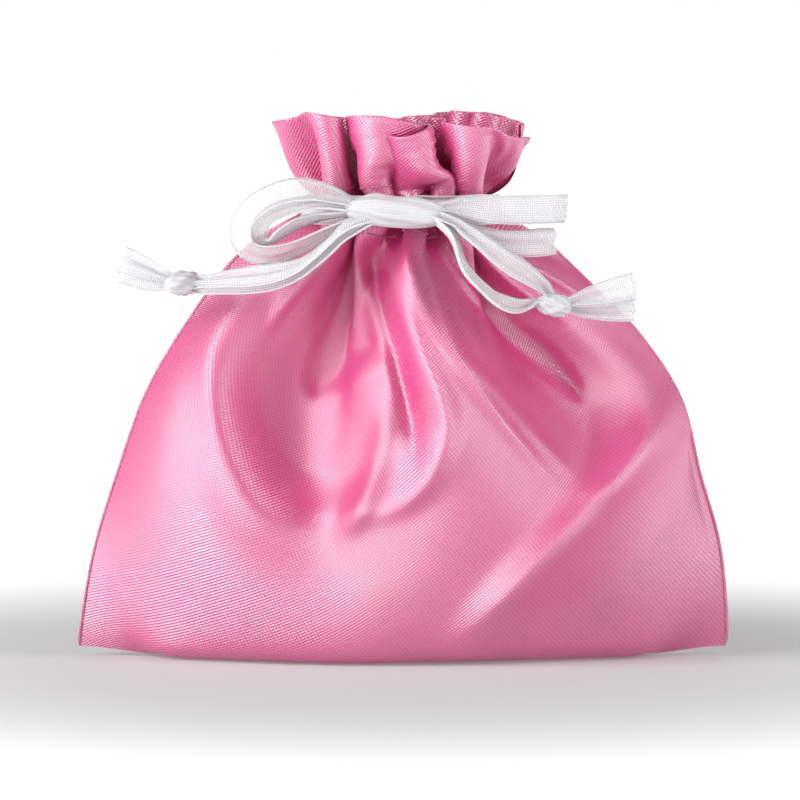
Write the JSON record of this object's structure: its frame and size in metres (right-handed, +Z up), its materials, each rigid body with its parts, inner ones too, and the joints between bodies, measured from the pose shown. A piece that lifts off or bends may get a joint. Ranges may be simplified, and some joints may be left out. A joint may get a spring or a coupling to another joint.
{
  "type": "drawstring gift pouch",
  "caption": "Small satin favour pouch with a sewn casing and ruffled header, gathered at the neck by two sheer ribbons tied in a bow at the front.",
  "frame": {"origin": "middle of the pouch's base, on the surface that it stands on", "axes": "+X to the right of the pouch as its front is seen, along its width; +Z up, through the mouth; the front with the bow faces -Y"},
  "size_m": [0.0766, 0.0354, 0.0649],
  "materials": {
    "satin": "glossy twill-lined satin face",
    "satin_reverse": "matt reverse of the satin",
    "thread": "spun polyester thread",
    "organza": "sheer white organza with dense selvedges"
  },
  "bodies": {
    "pouch": {"front_panel": "satin", "back_panel": "satin", "front_casing": "satin", "back_casing": "satin", "front_casing_facing": "satin_reverse", "back_casing_facing": "satin_reverse", "front_header": "satin", "back_header": "satin", "left_side_seam": "satin", "right_side_seam": "satin", "bottom_seam": "satin_reverse", "front_lower_stitching": "thread", "front_upper_stitching": "thread", "back_lower_stitching": "thread", "back_upper_stitching": "thread", "left_ribbon_in_casing": "organza", "right_ribbon_in_casing": "organza", "left_feed_strand_a": "organza", "left_feed_strand_b": "organza", "right_feed_strand_a": "organza", "right_feed_strand_b": "organza", "bow_knot": "organza"},
    "left_loops": {"left_loop_a": "organza", "left_loop_b": "organza"},
    "right_loops": {"right_loop_a": "organza", "right_loop_b": "organza"},
    "left_tail": {"left_tail_strand_a": "organza", "left_tail_strand_b": "organza", "left_tail_knot": "organza", "left_cut_end_a": "organza", "left_cut_end_b": "organza"},
    "right_tail": {"right_tail_strand_a": "organza", "right_tail_strand_b": "organza", "right_tail_knot": "organza", "right_cut_end_a": "organza", "right_cut_end_b": "organza"}
  },
  "joints": [
    {"name": "left_loops_lift", "type": "hinge", "parent": "pouch", "child": "left_loops", "pos_m": [-0.0049, -0.0113, 0.0523], "axis": [0, 0.9536, 0.3011], "range_deg": [0, 35]},
    {"name": "right_loops_lift", "type": "hinge", "parent": "pouch", "child": "right_loops", "pos_m": [0.0046, -0.0114, 0.0522], "axis": [0, -0.9536, -0.3011], "range_deg": [0, 35]},
    {"name": "left_tail_swing", "type": "hinge", "parent": "pouch", "child": "left_tail", "pos_m": [-0.0048, -0.0129, 0.0512], "axis": [-0.3809, -0.8407, 0.3849], "range_deg": [0, 50]},
    {"name": "right_tail_swing", "type": "hinge", "parent": "pouch", "child": "right_tail", "pos_m": [0.0049, -0.0134, 0.0509], "axis": [-0.3332, 0.8746, -0.3522], "range_deg": [0, 40]}
  ]
}
